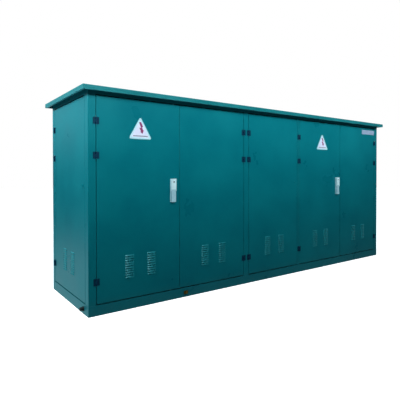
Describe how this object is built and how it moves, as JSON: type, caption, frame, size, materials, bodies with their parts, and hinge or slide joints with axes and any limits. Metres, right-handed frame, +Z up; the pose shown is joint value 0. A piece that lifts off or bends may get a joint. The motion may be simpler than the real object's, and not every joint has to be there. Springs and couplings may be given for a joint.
{
  "type": "pad-mounted transformer",
  "caption": "Long sheet-steel outdoor transformer kiosk with hinged louvred doors over switchgear, transformer and low-voltage bays.",
  "frame": {"origin": "on the ground at the centre of the plinth's footprint", "axes": "+X along the front towards the right end, -Y out of the front doors, +Z up"},
  "size_m": [4.314, 1.114, 1.896],
  "materials": {
    "body_paint": "semi-gloss teal-green powder coat",
    "roof_paint": "semi-gloss teal-green powder coat, a shade lighter",
    "galvanised_steel": "galvanised",
    "stainless_steel": "brushed",
    "hinge_black": "satin black",
    "handle_chrome": "satin chrome plate",
    "seal_rubber": "matt black foam rubber",
    "panel_paint": "light grey satin paint",
    "tank_paint": "grey satin paint",
    "core_steel": "laminated electrical steel",
    "copper": "bright copper",
    "porcelain": "glazed brown porcelain",
    "cable_sheath": "matt black sheath",
    "gland_nylon": "black nylon",
    "earth_brass": "plain brass",
    "breaker_plastic": "dark grey moulded",
    "toggle_plastic": "black moulded",
    "meter_plastic": "light grey moulded"
  },
  "bodies": {
    "enclosure": {"plinth_rails": "body_paint", "corner_posts": "body_paint", "bay_posts": "body_paint", "top_rails": "body_paint", "door_stops": "body_paint", "fixed_panels": "body_paint", "roof": "roof_paint", "door_seals": "seal_rubber", "floor_plates": "galvanised_steel", "partitions": "galvanised_steel", "panel_screws": "galvanised_steel", "tank_fittings": "galvanised_steel", "lv_frame": "galvanised_steel", "hinge_frame_leaves": "hinge_black", "hinge_pins": "stainless_steel", "rmu_tank": "stainless_steel", "cable_gland": "gland_nylon", "earth_terminal": "earth_brass", "rmu_panel": "panel_paint", "rmu_cable_covers": "panel_paint", "hv_cables": "cable_sheath", "transformer_tank": "tank_paint", "tank_lid": "tank_paint", "core": "core_steel", "windings": "copper", "lv_busbars": "copper", "hv_bushings": "porcelain", "lv_bushings": "porcelain", "main_breaker": "breaker_plastic", "feeder_breakers": "breaker_plastic", "meter": "meter_plastic"},
    "door_1": {"door_1": "body_paint", "door_1_fittings": "hinge_black"},
    "door_2": {"door_2": "body_paint", "door_2_fittings": "hinge_black"},
    "door_3": {"door_3": "body_paint", "door_3_fittings": "hinge_black"},
    "door_4": {"door_4": "body_paint", "door_4_fittings": "hinge_black"},
    "door_5": {"door_5": "body_paint", "door_5_fittings": "hinge_black"},
    "end_door": {"end_door": "body_paint", "end_door_fittings": "hinge_black"},
    "handle_1_spindle": {"handle_1_spindle": "handle_chrome"},
    "handle_1_grip": {"handle_1_grip": "handle_chrome"},
    "lock_1_top_rod": {"lock_1_top_rod": "galvanised_steel"},
    "lock_1_bottom_rod": {"lock_1_bottom_rod": "galvanised_steel"},
    "handle_4_spindle": {"handle_4_spindle": "handle_chrome"},
    "handle_4_grip": {"handle_4_grip": "handle_chrome"},
    "lock_4_top_rod": {"lock_4_top_rod": "galvanised_steel"},
    "lock_4_bottom_rod": {"lock_4_bottom_rod": "galvanised_steel"},
    "door_3_cam_lock": {"door_3_cam_lock": "handle_chrome"},
    "end_door_cam_lock": {"end_door_cam_lock": "handle_chrome"},
    "switch_shaft_1": {"switch_shaft_1": "stainless_steel"},
    "switch_shaft_2": {"switch_shaft_2": "stainless_steel"},
    "switch_shaft_3": {"switch_shaft_3": "stainless_steel"},
    "tap_knob": {"tap_knob": "toggle_plastic"},
    "main_toggle": {"main_toggle": "toggle_plastic"},
    "feeder_toggle_1": {"feeder_toggle_1": "toggle_plastic"},
    "feeder_toggle_2": {"feeder_toggle_2": "toggle_plastic"}
  },
  "joints": [
    {"name": "door_1_swing", "type": "hinge", "parent": "enclosure", "child": "door_1", "pos_m": [-2.0315, -0.507, 0.9], "axis": [0, 0, -1], "range_deg": [0, 120]},
    {"name": "door_2_swing", "type": "hinge", "parent": "enclosure", "child": "door_2", "pos_m": [-0.4365, -0.507, 0.9], "axis": [0, 0, 1], "range_deg": [0, 90]},
    {"name": "door_3_swing", "type": "hinge", "parent": "enclosure", "child": "door_3", "pos_m": [-0.3635, -0.507, 0.9], "axis": [0, 0, -1], "range_deg": [0, 90]},
    {"name": "door_4_swing", "type": "hinge", "parent": "enclosure", "child": "door_4", "pos_m": [0.4365, -0.507, 0.9], "axis": [0, 0, -1], "range_deg": [0, 110]},
    {"name": "door_5_swing", "type": "hinge", "parent": "enclosure", "child": "door_5", "pos_m": [2.0315, -0.507, 0.9], "axis": [0, 0, 1], "range_deg": [0, 120]},
    {"name": "end_door_swing", "type": "hinge", "parent": "enclosure", "child": "end_door", "pos_m": [-2.107, 0.4275, 0.9], "axis": [0, 0, -1], "range_deg": [0, 110]},
    {"name": "handle_1_turn", "type": "hinge", "parent": "door_1", "child": "handle_1_spindle", "pos_m": [-1.3085, -0.5155, 1.058], "axis": [0, 1, 0], "range_deg": [0, 90]},
    {"name": "handle_1_flip", "type": "hinge", "parent": "handle_1_spindle", "child": "handle_1_grip", "pos_m": [-1.3085, -0.5155, 1.006], "axis": [-1, 0, 0], "range_deg": [0, 35]},
    {"name": "lock_1_top_slide", "type": "slide", "parent": "door_1", "child": "lock_1_top_rod", "axis": [0, 0, -1], "range_m": [0, 0.0283]},
    {"name": "lock_1_bottom_slide", "type": "slide", "parent": "door_1", "child": "lock_1_bottom_rod", "axis": [0, 0, 1], "range_m": [0, 0.0283]},
    {"name": "handle_4_turn", "type": "hinge", "parent": "door_4", "child": "handle_4_spindle", "pos_m": [1.1595, -0.5155, 1.058], "axis": [0, 1, 0], "range_deg": [0, 90]},
    {"name": "handle_4_flip", "type": "hinge", "parent": "handle_4_spindle", "child": "handle_4_grip", "pos_m": [1.1595, -0.5155, 1.006], "axis": [-1, 0, 0], "range_deg": [0, 35]},
    {"name": "lock_4_top_slide", "type": "slide", "parent": "door_4", "child": "lock_4_top_rod", "axis": [0, 0, -1], "range_m": [0, 0.0283]},
    {"name": "lock_4_bottom_slide", "type": "slide", "parent": "door_4", "child": "lock_4_bottom_rod", "axis": [0, 0, 1], "range_m": [0, 0.0283]},
    {"name": "door_3_cam_turn", "type": "hinge", "parent": "door_3", "child": "door_3_cam_lock", "pos_m": [0.357, -0.5, 1.058], "axis": [0, 1, 0], "range_deg": [0, 90]},
    {"name": "end_door_cam_turn", "type": "hinge", "parent": "end_door", "child": "end_door_cam_lock", "pos_m": [-2.1, -0.381, 1.058], "axis": [1, 0, 0], "range_deg": [0, 90]},
    {"name": "switch_1_turn", "type": "hinge", "parent": "enclosure", "child": "switch_shaft_1", "pos_m": [-1.574, -0.33, 1.042], "axis": [0, -1, 0], "range_deg": [0, 90]},
    {"name": "switch_2_turn", "type": "hinge", "parent": "enclosure", "child": "switch_shaft_2", "pos_m": [-1.234, -0.33, 1.042], "axis": [0, -1, 0], "range_deg": [0, 90]},
    {"name": "switch_3_turn", "type": "hinge", "parent": "enclosure", "child": "switch_shaft_3", "pos_m": [-0.894, -0.33, 1.042], "axis": [0, -1, 0], "range_deg": [0, 90]},
    {"name": "tap_knob_turn", "type": "hinge", "parent": "enclosure", "child": "tap_knob", "pos_m": [0.01, -0.262, 0.82], "axis": [0, 0, 1], "range_deg": [0, 120]},
    {"name": "main_toggle_throw", "type": "hinge", "parent": "enclosure", "child": "main_toggle", "pos_m": [1, -0.095, 1.0265], "axis": [1, 0, 0], "range_deg": [0, 60]},
    {"name": "feeder_1_throw", "type": "hinge", "parent": "enclosure", "child": "feeder_toggle_1", "pos_m": [1.25, -0.075, 1.0265], "axis": [1, 0, 0], "range_deg": [0, 60]},
    {"name": "feeder_2_throw", "type": "hinge", "parent": "enclosure", "child": "feeder_toggle_2", "pos_m": [1.375, -0.075, 1.0265], "axis": [1, 0, 0], "range_deg": [0, 60]}
  ],
  "couplings": [
    {"joint": "lock_1_top_slide", "follows": "handle_1_turn", "m_per_rad": 0.018},
    {"joint": "lock_1_bottom_slide", "follows": "handle_1_turn", "m_per_rad": 0.018},
    {"joint": "lock_4_top_slide", "follows": "handle_4_turn", "m_per_rad": 0.018},
    {"joint": "lock_4_bottom_slide", "follows": "handle_4_turn", "m_per_rad": 0.018}
  ]
}
